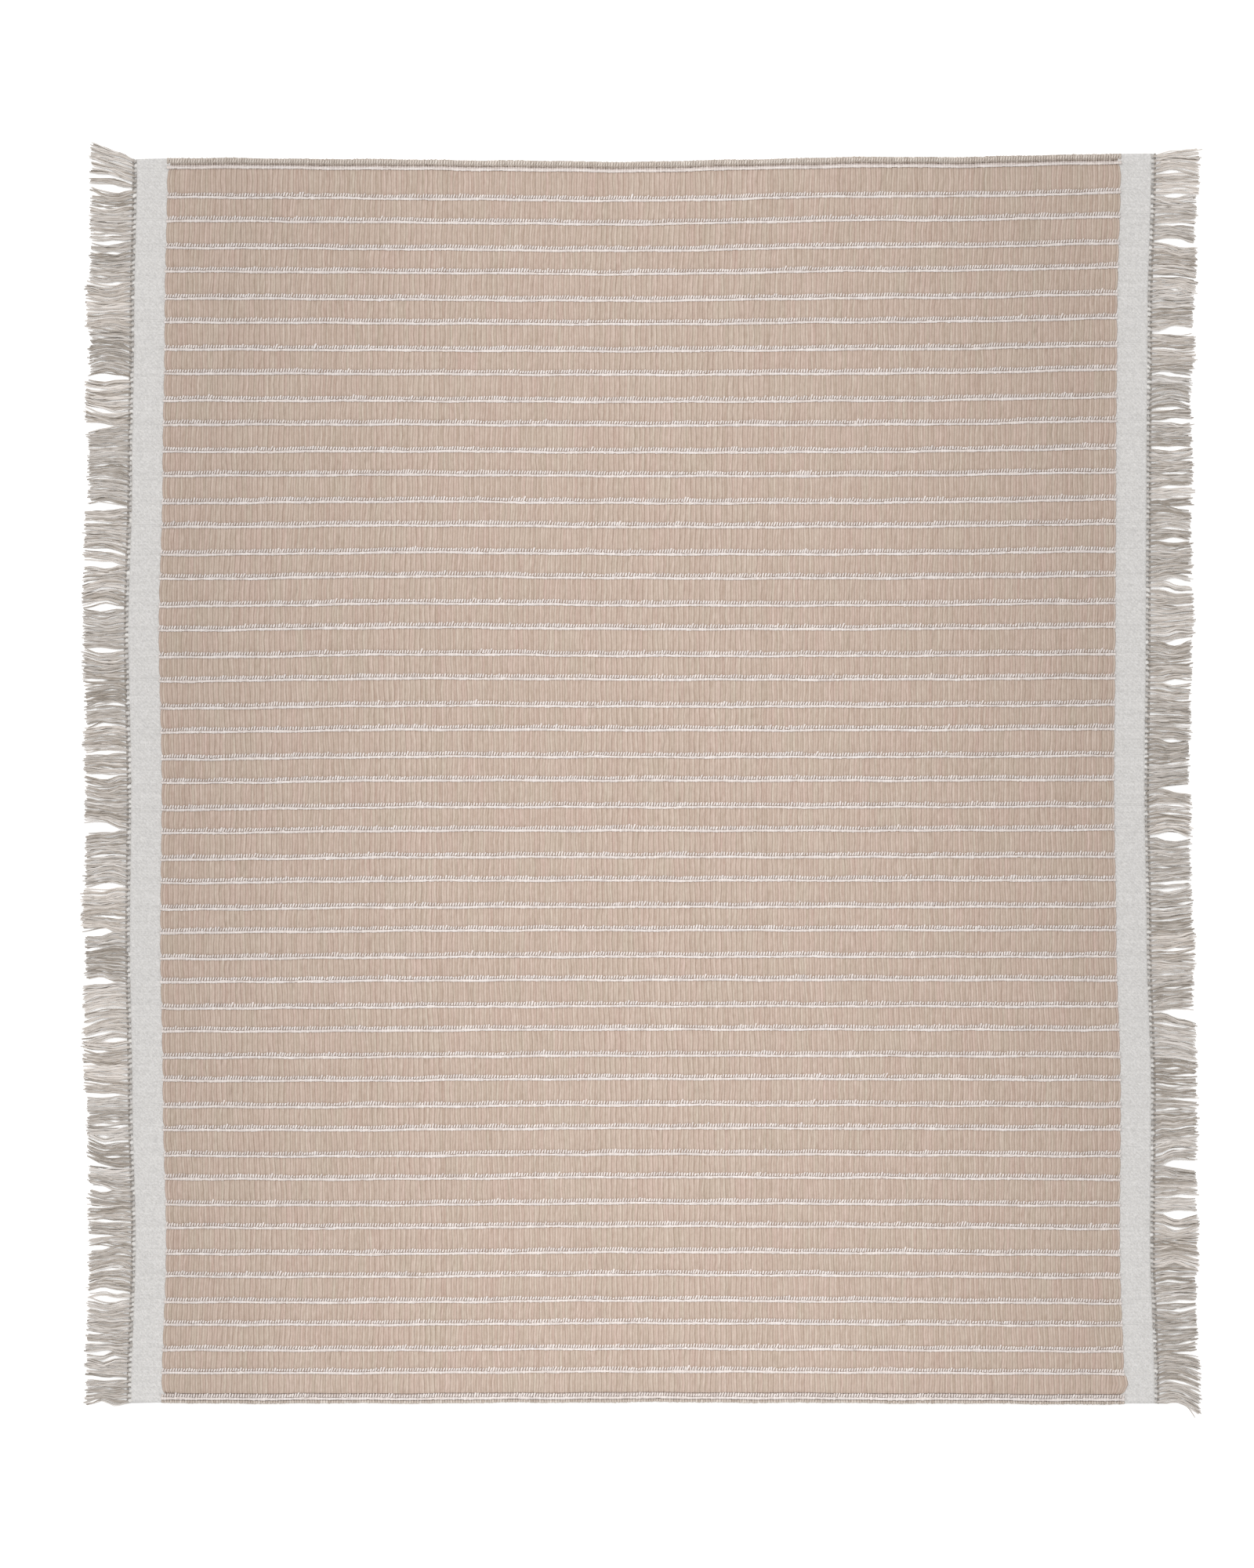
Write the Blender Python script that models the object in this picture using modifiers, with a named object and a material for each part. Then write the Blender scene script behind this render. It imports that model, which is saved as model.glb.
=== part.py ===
"""A flat-woven cotton bath mat with cream warp stripes and fringed ends.

Metres, +Z up. The mat lies flat, its underside at Z = 0 and its middle over the origin. X runs with
the warp, from fringe to fringe, and Y runs with the weft, from selvedge to selvedge.
"""

import math

import bmesh
import bpy
from mathutils import Matrix

COLLECTION_NAME = "flat_woven_bath_mat"

# Sizes of the whole cloth
MAT_LENGTH = 0.600  # selvedge to selvedge
FIELD_WIDTH = 0.461  # the beige weft field, between the two end bands
END_BAND_WIDTH = 0.0144
KNOT_ROW_WIDTH = 0.0020
TASSEL_LENGTH = 0.0200

# Thicknesses
FIELD_THICKNESS = 0.0034
END_BAND_THICKNESS = 0.0022
SELVEDGE_THICKNESS = 0.0030
EDGE_STRIPE_THICKNESS = 0.0028
KNOT_THICKNESS = 0.0022
TASSEL_THICKNESS = 0.0016

# Edge cords, across the weft
SELVEDGE_TOP = 0.0032
SELVEDGE_BOTTOM = 0.0018
EDGE_STRIPE_TOP = 0.0015
EDGE_STRIPE_BOTTOM = 0.0026

# Warp stripes: a row of short dashes with a bright beaded line along its lower side
STRIPE_COUNT = 48
DASH_ROW_WIDTH = 0.0014
BEAD_LINE_WIDTH = 0.0010
STRIPE_DEPTH = 0.0012
BEAD_RISE = 0.0003  # how far the beaded line stands above the dashes
STRIPE_CHAMFER = 0.0003
FIRST_BAND = 0.0129  # from the field's top edge to the first stripe's middle
LAST_BAND = 0.0110  # from the last stripe's middle to the field's bottom edge
WIDE_TO_NARROW = 1.135  # the bands between stripes are narrow and wide by turns
BEATEN_IN = 0.0028  # how far the middle stripes sit below even spacing, as the upper bands are looser

# The puffed crown of each weft band
CROWN_HEIGHT = 0.0005
CROWN_SHOULDER = 0.0016

# Fringe
KNOT_COUNT = 243
KNOT_NOTCH = 0.0011  # depth of the notch between two knots
TASSEL_COUNT = 27
TASSEL_HEADER = 0.0015  # strip along the roots that joins the tassels
TASSEL_SLIT = 0.0016  # open width between two neighbouring tassels at their tips
TASSEL_FLARE = 0.0060  # how far the corner tassels lean out past the selvedges

ARC_STEPS = 6  # facets on a rounded selvedge
BAND_EDGE_RADIUS = 0.0004
GAP = 0.0003  # between pieces that touch

# Colour (linear), roughness of each finish
FINISHES = {
    "weft_cotton": ((0.565, 0.445, 0.371, 1.0), 0.95),
    "cream_warp": ((0.800, 0.745, 0.690, 1.0), 0.92),
    "plain_weave_cotton": ((0.651, 0.638, 0.617, 1.0), 0.94),
    "selvedge_cotton": ((0.429, 0.376, 0.305, 1.0), 0.95),
    "fringe_cotton": ((0.527, 0.491, 0.456, 1.0), 0.95),
}


def field_span():
    """Y of the weft field's top edge and bottom edge."""
    top = MAT_LENGTH / 2 - SELVEDGE_TOP - EDGE_STRIPE_TOP - 2 * GAP
    bottom = -MAT_LENGTH / 2 + SELVEDGE_BOTTOM + EDGE_STRIPE_BOTTOM + 2 * GAP
    return top, bottom


def stripe_centres():
    """Y of each warp stripe's middle, from the top down."""
    top, bottom = field_span()
    pitches = STRIPE_COUNT - 1
    wide_pitches = pitches // 2
    narrow_pitches = pitches - wide_pitches
    striped = top - bottom - FIRST_BAND - LAST_BAND
    narrow = striped / (narrow_pitches + wide_pitches * WIDE_TO_NARROW)
    even = [top - FIRST_BAND]
    for index in range(pitches):
        step = narrow if index % 2 == 0 else narrow * WIDE_TO_NARROW
        even.append(even[-1] - step)
    shares = [(even[0] - y) / (even[0] - even[-1]) for y in even]
    return [y - BEATEN_IN * 4 * share * (1 - share) for y, share in zip(even, shares)]


def band_inner_x():
    """X of an end band's inner edge, on the +X side."""
    return FIELD_WIDTH / 2 + GAP


def knot_row_x():
    """X of the middle of the knot row, on the +X side."""
    return band_inner_x() + END_BAND_WIDTH + GAP + KNOT_ROW_WIDTH / 2


def tassel_root_x():
    """X where the tassels start, on the +X side."""
    return knot_row_x() + KNOT_ROW_WIDTH / 2 + GAP


def make_material(name):
    """A Principled material for one of the finishes."""
    colour, roughness = FINISHES[name]
    material = bpy.data.materials.new(name)
    material.use_nodes = True
    shader = material.node_tree.nodes["Principled BSDF"]
    shader.inputs["Base Color"].default_value = colour
    shader.inputs["Roughness"].default_value = roughness
    shader.inputs["Metallic"].default_value = 0.0
    material.diffuse_color = colour
    return material


class Mat:
    """The collection, the parent empty and the shared materials that every piece goes into."""

    def __init__(self):
        self.collection = bpy.data.collections.new(COLLECTION_NAME)
        bpy.context.scene.collection.children.link(self.collection)
        self.root = bpy.data.objects.new("mat_root", None)
        self.collection.objects.link(self.root)
        self.materials = {name: make_material(name) for name in FINISHES}

    def add(self, name, data, finish, location=(0, 0, 0), rotation=(0, 0, 0)):
        """Links one named piece under the root, in its finish."""
        piece = bpy.data.objects.new(name, data)
        piece.location = location
        piece.rotation_euler = rotation
        piece.parent = self.root
        data.materials.append(self.materials[finish])
        self.collection.objects.link(piece)
        return piece


def outline_curve(name, outline, thickness):
    """A closed flat outline, extruded by half the thickness each way."""
    curve = bpy.data.curves.new(name, "CURVE")
    curve.dimensions = "2D"
    curve.fill_mode = "BOTH"
    curve.extrude = thickness / 2
    spline = curve.splines.new("POLY")
    spline.points.add(len(outline) - 1)
    for point, (across, up) in zip(spline.points, outline):
        point.co = (across, up, 0, 1)
    spline.use_cyclic_u = True
    return curve


ALONG_WARP = (math.pi / 2, 0, math.pi / 2)  # an outline's x to Y, its y to Z and its depth to X
ENDS = ((-1, "left", 0.0), (1, "right", math.pi))  # side of the mat along X, name, turn about Z


def stripe_width():
    """Full width of a warp stripe, dashes and beaded line together."""
    return DASH_ROW_WIDTH + BEAD_LINE_WIDTH


def field_outline():
    """Section across the weft field: crowned bands with grooves between them, on a flat underside."""
    top, bottom = field_span()
    shoulder = FIELD_THICKNESS - CROWN_HEIGHT
    groove_floor = shoulder - STRIPE_DEPTH - GAP
    reach = stripe_width() / 2 + GAP
    starts = [top]
    ends = []
    for centre in stripe_centres():
        ends.append(centre + reach)
        starts.append(centre - reach)
    ends.append(bottom)

    outline = [(bottom, 0), (top, 0)]
    for start, end in zip(starts, ends):
        if start != top:
            outline.append((start, groove_floor))
        outline.append((start, shoulder))
        outline.append((start - CROWN_SHOULDER, FIELD_THICKNESS))
        outline.append((end + CROWN_SHOULDER, FIELD_THICKNESS))
        outline.append((end, shoulder))
        if end != bottom:
            outline.append((end, groove_floor))
    return outline


def build_weft_field(mat):
    """The beige weft field, one slab that is pinched thin under every warp stripe."""
    curve = outline_curve("weft_field", field_outline(), FIELD_WIDTH)
    mat.add("weft_field", curve, "weft_cotton", rotation=ALONG_WARP)


def stripe_outline():
    """Section of a warp stripe about its middle: low dashes above, the raised beaded line below."""
    half = stripe_width() / 2
    face = FIELD_THICKNESS - CROWN_HEIGHT
    back = face - STRIPE_DEPTH
    dashes = face - BEAD_RISE
    bead_edge = BEAD_LINE_WIDTH - half
    return [
        (-half, back),
        (half, back),
        (half, dashes - STRIPE_CHAMFER),
        (half - STRIPE_CHAMFER, dashes),
        (bead_edge, dashes),
        (bead_edge - STRIPE_CHAMFER, face),
        (STRIPE_CHAMFER - half, face),
        (-half, dashes),
    ]


def build_warp_stripes(mat):
    """The cream warp stripes, each one cord lying in its groove of the field."""
    for index, centre in enumerate(stripe_centres(), start=1):
        name = f"warp_stripe_{index:02d}"
        curve = outline_curve(name, stripe_outline(), FIELD_WIDTH)
        mat.add(name, curve, "cream_warp", location=(0, centre, 0), rotation=ALONG_WARP)


def rounded_edge_outline(width, thickness):
    """Section of a selvedge: flat where it meets the cloth, rounded on its outer side (+x)."""
    radius = min(width, thickness / 2)
    outline = [(0, thickness), (0, 0)]
    for step in range(ARC_STEPS + 1):
        angle = -math.pi / 2 + math.pi * step / ARC_STEPS
        outline.append((width - radius + radius * math.cos(angle), thickness / 2 * (1 + math.sin(angle))))
    return outline


def build_edges(mat):
    """The selvedge cord and the cream stripe beside it, along the top and the bottom of the mat."""
    for side, name, cord, stripe in (
        (1, "top", SELVEDGE_TOP, EDGE_STRIPE_TOP),
        (-1, "bottom", SELVEDGE_BOTTOM, EDGE_STRIPE_BOTTOM),
    ):
        cord_start = MAT_LENGTH / 2 - cord
        section = [(side * across, up) for across, up in rounded_edge_outline(cord, SELVEDGE_THICKNESS)]
        curve = outline_curve(name + "_selvedge", section, FIELD_WIDTH)
        mat.add(
            name + "_selvedge",
            curve,
            "selvedge_cotton",
            location=(0, side * cord_start, 0),
            rotation=ALONG_WARP,
        )
        half = stripe / 2
        lip = half - min(STRIPE_CHAMFER, stripe / 4)
        step = EDGE_STRIPE_THICKNESS - STRIPE_CHAMFER
        section = [
            (-half, 0),
            (half, 0),
            (half, step),
            (lip, EDGE_STRIPE_THICKNESS),
            (-lip, EDGE_STRIPE_THICKNESS),
            (-half, step),
        ]
        curve = outline_curve(name + "_edge_stripe", section, FIELD_WIDTH)
        mat.add(
            name + "_edge_stripe",
            curve,
            "cream_warp",
            location=(0, side * (cord_start - GAP - half), 0),
            rotation=ALONG_WARP,
        )


def build_end_bands(mat):
    """The plain-woven band at each end of the field, a thin slab with softened edges."""
    for side, name, _ in ENDS:
        mesh = bpy.data.meshes.new(name + "_end_band")
        shape = bmesh.new()
        size = Matrix.Diagonal((END_BAND_WIDTH, MAT_LENGTH, END_BAND_THICKNESS, 1))
        bmesh.ops.create_cube(shape, size=1, matrix=size)
        shape.to_mesh(mesh)
        shape.free()
        middle = side * (band_inner_x() + END_BAND_WIDTH / 2)
        place = (middle, 0, END_BAND_THICKNESS / 2)
        band = mat.add(name + "_end_band", mesh, "plain_weave_cotton", location=place)
        soften = band.modifiers.new("softened_edges", "BEVEL")
        soften.width = BAND_EDGE_RADIUS
        soften.segments = 1


def knot_row_outline():
    """Plan of the left knot row about its middle, notched on its outer side between one knot and the next."""
    pitch = MAT_LENGTH / KNOT_COUNT
    crest = -KNOT_ROW_WIDTH / 2
    notch = crest + KNOT_NOTCH
    outline = [(-crest, MAT_LENGTH / 2), (-crest, -MAT_LENGTH / 2)]
    for index in range(KNOT_COUNT):
        low = index * pitch - MAT_LENGTH / 2
        outline.append((notch, low))
        outline.append((crest, low + pitch / 2))
    outline.append((notch, MAT_LENGTH / 2))
    return outline


def build_knot_rows(mat):
    """The row of small knots along each end band's outer edge; the right one is the left one turned round."""
    for side, name, turn in ENDS:
        curve = outline_curve(name + "_knots", knot_row_outline(), KNOT_THICKNESS)
        place = (side * knot_row_x(), 0, KNOT_THICKNESS / 2)
        mat.add(name + "_knots", curve, "fringe_cotton", location=place, rotation=(0, 0, turn))


def tassel_lean(index):
    """How far a tassel's tip has swung along Y: only the corner ones flare, out past the selvedges."""
    if index == 0:
        return -TASSEL_FLARE
    if index == TASSEL_COUNT - 1:
        return TASSEL_FLARE
    return 0.0


def fringe_outline():
    """Plan of the left fringe from its roots: a narrow strip, then tassels parted by tapering slits."""
    pitch = MAT_LENGTH / TASSEL_COUNT
    half_slit = TASSEL_SLIT / 2
    outline = [(0, MAT_LENGTH / 2), (0, -MAT_LENGTH / 2)]
    for index in range(TASSEL_COUNT):
        low = index * pitch - MAT_LENGTH / 2
        high = low + pitch
        lean = tassel_lean(index)
        outline.append((-TASSEL_HEADER, low + GAP / 2))
        outline.append((-TASSEL_LENGTH, low + half_slit + min(lean, 0.0)))
        outline.append((-TASSEL_LENGTH, high - half_slit + max(lean, 0.0)))
        outline.append((-TASSEL_HEADER, high - GAP / 2))
    return outline


def build_fringes(mat):
    """The fringe at each end, flat tassels lying on the floor; the right one is the left one turned round."""
    for side, name, turn in ENDS:
        curve = outline_curve(name + "_fringe", fringe_outline(), TASSEL_THICKNESS)
        place = (side * tassel_root_x(), 0, TASSEL_THICKNESS / 2)
        mat.add(name + "_fringe", curve, "fringe_cotton", location=place, rotation=(0, 0, turn))


def main():
    """Clears the scene and builds every piece of the mat."""
    for leftover in list(bpy.data.objects):
        bpy.data.objects.remove(leftover, do_unlink=True)
    mat = Mat()
    build_weft_field(mat)
    build_warp_stripes(mat)
    build_edges(mat)
    build_end_bands(mat)
    build_knot_rows(mat)
    build_fringes(mat)


main()
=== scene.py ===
"""Flat-woven cotton bath mat with cream warp stripes, pale end bands, knots and a loose fringe.

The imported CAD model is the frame: every piece here is laid out in its sizes and stands for its nodes.
Bodies are drawn on a square cloth first and then settle as one into the way the real mat lies.
"""

import logging
import math
from dataclasses import dataclass, field, replace
from enum import Enum

import bpy
import numpy as np
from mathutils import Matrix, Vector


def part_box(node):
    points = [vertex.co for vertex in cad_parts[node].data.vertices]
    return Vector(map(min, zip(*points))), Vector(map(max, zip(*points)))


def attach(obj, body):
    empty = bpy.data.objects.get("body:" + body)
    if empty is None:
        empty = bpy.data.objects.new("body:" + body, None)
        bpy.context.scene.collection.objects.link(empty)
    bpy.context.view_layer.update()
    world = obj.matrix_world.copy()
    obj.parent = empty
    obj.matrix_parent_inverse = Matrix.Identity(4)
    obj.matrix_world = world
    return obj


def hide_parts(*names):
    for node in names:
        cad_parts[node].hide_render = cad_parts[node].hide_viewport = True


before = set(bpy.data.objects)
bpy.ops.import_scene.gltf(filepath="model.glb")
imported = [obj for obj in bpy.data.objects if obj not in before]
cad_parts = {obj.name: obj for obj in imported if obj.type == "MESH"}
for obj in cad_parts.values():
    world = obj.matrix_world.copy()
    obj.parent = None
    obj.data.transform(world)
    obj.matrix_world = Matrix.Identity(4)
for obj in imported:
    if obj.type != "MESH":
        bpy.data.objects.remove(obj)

MM = 0.001
Colour = tuple[float, float, float]
log = logging.getLogger("bath_mat")


def ink(red: int, green: int, blue: int) -> Colour:
    """Turn a colour in everyday 0 to 255 values into the linear one that shaders use."""
    shares = (c / 255 for c in (red, green, blue))
    return tuple(c / 12.92 if c <= 0.04045 else ((c + 0.055) / 1.055) ** 2.4 for c in shares)


def ramp(value: np.ndarray, start: float, end: float) -> np.ndarray:
    """Rise smoothly from 0, where the value is start, to 1, where it is end."""
    share = np.clip((value - start) / (end - start), 0.0, 1.0)
    return share * share * (3 - 2 * share)


def stack(*parts: "np.ndarray | float") -> np.ndarray:
    """Stack matching arrays and numbers, such as coordinates, dyes or half axes, on a last axis."""
    return np.stack(np.broadcast_arrays(*parts), axis=-1)


class Named(Enum):
    """An option whose name is part of the names of nodes and pieces."""

    @property
    def word(self) -> str:
        """Give its name as it stands in those names."""
        return self.name.lower()


class Side(Named):
    """The two fringed ends of the mat."""

    LEFT = -1
    RIGHT = 1


class Selvedge(Named):
    """The two woven long edges that the ribs turn round at."""

    TOP = 1
    BOTTOM = -1


# ---------------------------------------------------------------- how the cloth lies


@dataclass(frozen=True)
class Ease:
    """A place where the cloth lies off its square, as a soft hump or hollow.

    Attributes:
        across: Place across the mat, -1 at the left of the field and 1 at the right.
        along: Place along the mat, -1 at the bottom and 1 at the top.
        reach_across: How far it reaches across, in half widths.
        reach_along: How far it reaches along, in half lengths.
        rise: How far it pushes the rows up the mat, in metres.
    """

    across: float
    along: float
    reach_across: float
    reach_along: float
    rise: float


@dataclass
class Lay:
    """The way the whole mat lies: rows that bow a little and sides that wander."""

    left: float
    right: float
    bottom: float
    top: float
    eases: tuple[Ease, ...] = (
        Ease(1.05, 1.05, 0.35, 0.75, 3.4 * MM),
        Ease(0.45, 1.00, 0.25, 0.35, 1.4 * MM),
        Ease(-0.95, 1.00, 0.45, 0.50, 1.1 * MM),
        Ease(-0.05, 1.00, 0.20, 0.20, -0.7 * MM),
        Ease(-0.45, 0.33, 0.30, 0.25, 1.0 * MM),
        Ease(-1.00, -0.10, 0.35, 0.45, -1.3 * MM),
        Ease(-0.60, -0.60, 0.35, 0.30, -0.7 * MM),
        Ease(1.00, -0.75, 0.35, 0.35, -0.9 * MM),
        Ease(0.00, -0.90, 0.35, 0.30, 0.6 * MM),
    )
    left_wander: tuple[float, ...] = (-0.2, 1.9, 0.3, -0.9, -0.2, -1.6, 0.2, 1.2, 2.5)
    right_wander: tuple[float, ...] = (3.4, 1.3, 1.7, -0.4, -1.5, -0.8, -0.5, 0.0, 1.8)
    row_wander: tuple[float, ...] = (0.4, -0.5, -0.6, -0.7, -0.75, -0.3, 0.5, 0.6, 0.0)
    broad_ripple: float = 0.12 * MM
    fine_ripple: float = 0.10 * MM

    def wander(self, stops: tuple[float, ...], y: np.ndarray) -> np.ndarray:
        """Read a side's sideways shift, which runs smoothly through evenly spaced stops.

        Args:
            stops: Shifts in millimetres from the bottom of the mat to its top.
            y: Places along the mat.

        Returns:
            The shift at each place, in metres.
        """
        place = np.clip((y - self.bottom) / (self.top - self.bottom), 0, 1) * (len(stops) - 1)
        first = np.minimum(place.astype(int), len(stops) - 2)
        values = np.array(stops) * MM
        share = ramp(place - first, 0, 1)
        return values[first] * (1 - share) + values[first + 1] * share

    def settle(self, points: np.ndarray) -> np.ndarray:
        """Move points of the square cloth to where they lie on the real one.

        Args:
            points: Points, with their coordinates on the last axis.

        Returns:
            The settled points.
        """
        x, y = points[..., 0], points[..., 1]
        half_width, half_length = (self.right - self.left) / 2, (self.top - self.bottom) / 2
        u = (x - (self.right + self.left) / 2) / half_width
        v = (y - (self.top + self.bottom) / 2) / half_length
        rise = np.zeros_like(y)
        for ease in self.eases:
            off_across = (np.clip(u, -1.06, 1.06) - ease.across) / ease.reach_across
            off_along = (v - ease.along) / ease.reach_along
            rise = rise + ease.rise * np.exp(-(off_across**2) - off_along**2)
        broad, fine = np.sin(u * 19 + v * 61), np.sin(u * 43 - v * 37 + 1.0)
        rise = rise + self.broad_ripple * broad + self.fine_ripple * fine
        share = np.clip((1 + u) / 2, 0, 1)
        shift = (1 - share) * self.wander(self.left_wander, y)
        shift = shift + share * self.wander(self.right_wander, y)
        settled = points.copy()
        settled[..., 0] = x + shift
        settled[..., 1] = y + rise + self.wander(self.row_wander, y)
        return settled

    def fade(self, points: np.ndarray) -> np.ndarray:
        """Tell how much painted shade falls on a point: a painted light falloff, deeper toward the sides
        of the mat and toward its top.

        Args:
            points: Settled points, one to a row.

        Returns:
            The share of painted shade at each point, from 0 to 1.
        """
        u = points[:, 0] / (self.right - self.left) * 2
        v = points[:, 1] / (self.top - self.bottom) * 2
        # Painted shade: strongest toward the sides and the top, none in the middle of the bottom edge.
        return np.clip(0.8 * u * u + 0.2 + 0.27 * v, 0, 1)


# ---------------------------------------------------------------- meshes


@dataclass
class Draft:
    """Closed bodies of yarn and cloth, gathered on the square cloth before they become one mesh."""

    lay: Lay
    points: list[np.ndarray] = field(default_factory=list)
    dyes: list[np.ndarray] = field(default_factory=list)
    faces: list[np.ndarray] = field(default_factory=list)
    count: int = 0

    def add(self, points: np.ndarray, dyes: np.ndarray, *faces: np.ndarray) -> None:
        """Add one or more closed bodies.

        Args:
            points: Points, one to a row.
            dyes: Tone, tint and painted light of each point, with room for its painted light falloff,
                one point to a row.
            faces: Arrays of corner numbers, one face to a row.
        """
        self.points.append(points.reshape(-1, 3))
        self.dyes.append(dyes.reshape(-1, 4))
        self.faces.extend(rows + self.count for rows in faces)
        self.count += len(self.points[-1])

    def sweep(self, sections: np.ndarray, dyes: np.ndarray) -> None:
        """Add a solid whose sections follow one another, closed by its first and last.

        Args:
            sections: Rings of points, indexed by section, then by place on the ring.
            dyes: Dye and painted light of each point, indexed alike.
        """
        length, around = sections.shape[:2]
        start = np.arange(length - 1)[:, None] * around
        here = np.arange(around)[None, :]
        after = (here + 1) % around
        quads = stack(start + here, start + around + here, start + around + after, start + after)
        last = (length - 1) * around
        caps = np.stack((np.arange(around), last + np.arange(around)[::-1]))
        self.add(sections, dyes, quads.reshape(-1, 4), caps)

    def strands(self, paths: np.ndarray, radii: np.ndarray, sides: int, dyes: np.ndarray) -> None:
        """Add round strands that lie more or less flat.

        Args:
            paths: Middle lines, indexed by strand, then by place along it.
            radii: Radius at each place, indexed alike.
            sides: Flat sides of a strand.
            dyes: Dye and painted light at each place, indexed alike.
        """
        ahead = np.gradient(paths, axis=1)
        ahead /= np.linalg.norm(ahead, axis=-1, keepdims=True)
        across = np.cross(np.array((0.0, 0.0, 1.0)), ahead)
        across /= np.linalg.norm(across, axis=-1, keepdims=True)
        upward = np.cross(ahead, across)
        turn = np.arange(sides) * 2 * math.pi / sides
        ring = (
            across[:, :, None] * np.cos(turn)[None, None, :, None]
            + upward[:, :, None] * np.sin(turn)[None, None, :, None]
        )
        rings = paths[:, :, None] + ring * radii[:, :, None, None]
        number, length = paths.shape[:2]
        start = (np.arange(number)[:, None, None] * length + np.arange(length - 1)[:, None]) * sides
        here = np.arange(sides)[None, None, :]
        after = (here + 1) % sides
        quads = stack(start + here, start + after, start + sides + after, start + sides + here)
        first = np.arange(number)[:, None] * length * sides
        heads = first + np.arange(sides)[::-1][None]
        tails = first + (length - 1) * sides + np.arange(sides)[None]
        shared = np.broadcast_to(dyes[:, :, None], (*rings.shape[:3], 4))
        self.add(rings, shared, quads.reshape(-1, 4), heads, tails)

    def copies(
        self, unit: "Unit", places: np.ndarray, frames: np.ndarray, dyes: np.ndarray,
        shade: float = 0.38,
    ) -> None:
        """Add a copy of a small unit at every place.

        Args:
            unit: The unit to copy.
            places: Middle of each copy.
            frames: Matrix of each copy, whose columns are its three half axes.
            dyes: Dye and painted light of each copy.
            shade: How much of the light is lost at a copy's foot.
        """
        points = np.einsum("nij,uj->nui", frames, unit.points) + places[:, None]
        shared = np.broadcast_to(dyes[:, None], (*points.shape[:2], 4)).copy()
        shared[..., 2] *= 1 - shade * (1 - ramp(unit.points[None, :, 2], -0.8, 0.6))
        start = (np.arange(len(places)) * len(unit.points))[:, None, None]
        faces = [(rows[None] + start).reshape(-1, rows.shape[1]) for rows in unit.faces]
        self.add(points, shared, *faces)

    def finish(self, name: str, material: bpy.types.Material, crease: float = 75) -> bpy.types.Object:
        """Settle the bodies and make the piece of them.

        Args:
            name: Name of the piece.
            material: Its finish.
            crease: Angle in degrees above which an edge stays sharp.

        Returns:
            The piece, in the scene's collection.
        """
        points = self.lay.settle(np.concatenate(self.points))
        totals = np.concatenate([np.full(len(rows), rows.shape[1]) for rows in self.faces])
        corners = np.concatenate([rows.ravel() for rows in self.faces])
        mesh = bpy.data.meshes.new(name)
        mesh.vertices.add(len(points))
        mesh.vertices.foreach_set("co", points.astype(np.float32).ravel())
        mesh.loops.add(len(corners))
        mesh.loops.foreach_set("vertex_index", corners.astype(np.int32))
        mesh.polygons.add(len(totals))
        mesh.polygons.foreach_set("loop_start", np.concatenate(((0,), np.cumsum(totals)[:-1])))
        mesh.update(calc_edges=True)
        mesh.validate()
        dyes = np.concatenate(self.dyes)
        # Painted light: the third channel is painted light and shade, the fourth the painted light
        # falloff toward the sides and top of the mat.
        dyes[:, 3] = self.lay.fade(points)
        dye = mesh.attributes.new("dye", "FLOAT_COLOR", "POINT")
        dye.data.foreach_set("color", dyes.astype(np.float32).ravel())
        mesh.shade_smooth()
        mesh.set_sharp_from_angle(angle=math.radians(crease))
        mesh.materials.append(material)
        piece = bpy.data.objects.new(name, mesh)
        bpy.context.scene.collection.objects.link(piece)
        return piece


@dataclass
class Unit:
    """A small closed shape that is modelled once and copied many times."""

    points: np.ndarray
    faces: list[np.ndarray]

    @classmethod
    def lozenge(
        cls, segments: int, rings: int, tilt: tuple[float, float, float], bluntness: float = 1.0
    ) -> "Unit":
        """Model a rounded lump of yarn, one unit in radius.

        Args:
            segments: Faces around it.
            rings: Rows of faces from tip to tip.
            tilt: Turn of its long axis, which starts upright.
            bluntness: 1 for a pointed lump, more for one that fills its box.

        Returns:
            The unit.
        """
        bpy.ops.object.select_all(action="DESELECT")
        bpy.ops.mesh.primitive_uv_sphere_add(
            segments=segments, ring_count=rings, rotation=(0, 0, math.pi / segments), calc_uvs=False
        )
        lump = bpy.context.object
        bpy.ops.object.transform_apply(location=False, rotation=True, scale=False)
        lump.rotation_euler = tilt
        bpy.ops.object.transform_apply(location=False, rotation=True, scale=False)
        mesh = lump.data
        points = np.array([corner.co for corner in mesh.vertices])
        points = np.sign(points) * np.abs(points) ** (1 / bluntness)
        corners = [np.roll(face.vertices, -np.argmin(face.vertices)).tolist() for face in mesh.polygons]
        sizes = sorted({len(row) for row in corners})
        faces = [np.array(sorted(row for row in corners if len(row) == size)) for size in sizes]
        bpy.data.objects.remove(lump)
        bpy.data.meshes.remove(mesh)
        return cls(points, faces)


# ---------------------------------------------------------------- finishes


class Value:
    """One number in a material; arithmetic on it adds Math nodes."""

    def __init__(self, nodes: "Nodes", socket: bpy.types.NodeSocket) -> None:
        """Wrap a socket of a material's nodes."""
        self.nodes = nodes
        self.socket = socket

    def _with(self, operation: str, first: "Value | float", second: "Value | float") -> "Value":
        """Add one Math node, which works on the two values, and give its result."""
        made = self.nodes.add("ShaderNodeMath", {"operation": operation}, {0: first, 1: second})
        return Value(self.nodes, made.outputs[0])

    def __add__(self, other: "Value | float") -> "Value":
        """Add."""
        return self._with("ADD", self, other)

    __radd__ = __add__

    def __sub__(self, other: "Value | float") -> "Value":
        """Take away."""
        return self._with("SUBTRACT", self, other)

    def __rsub__(self, other: float) -> "Value":
        """Take this away from a number."""
        return self._with("SUBTRACT", other, self)

    def __mul__(self, other: "Value | float") -> "Value":
        """Multiply."""
        return self._with("MULTIPLY", self, other)

    __rmul__ = __mul__


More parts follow.
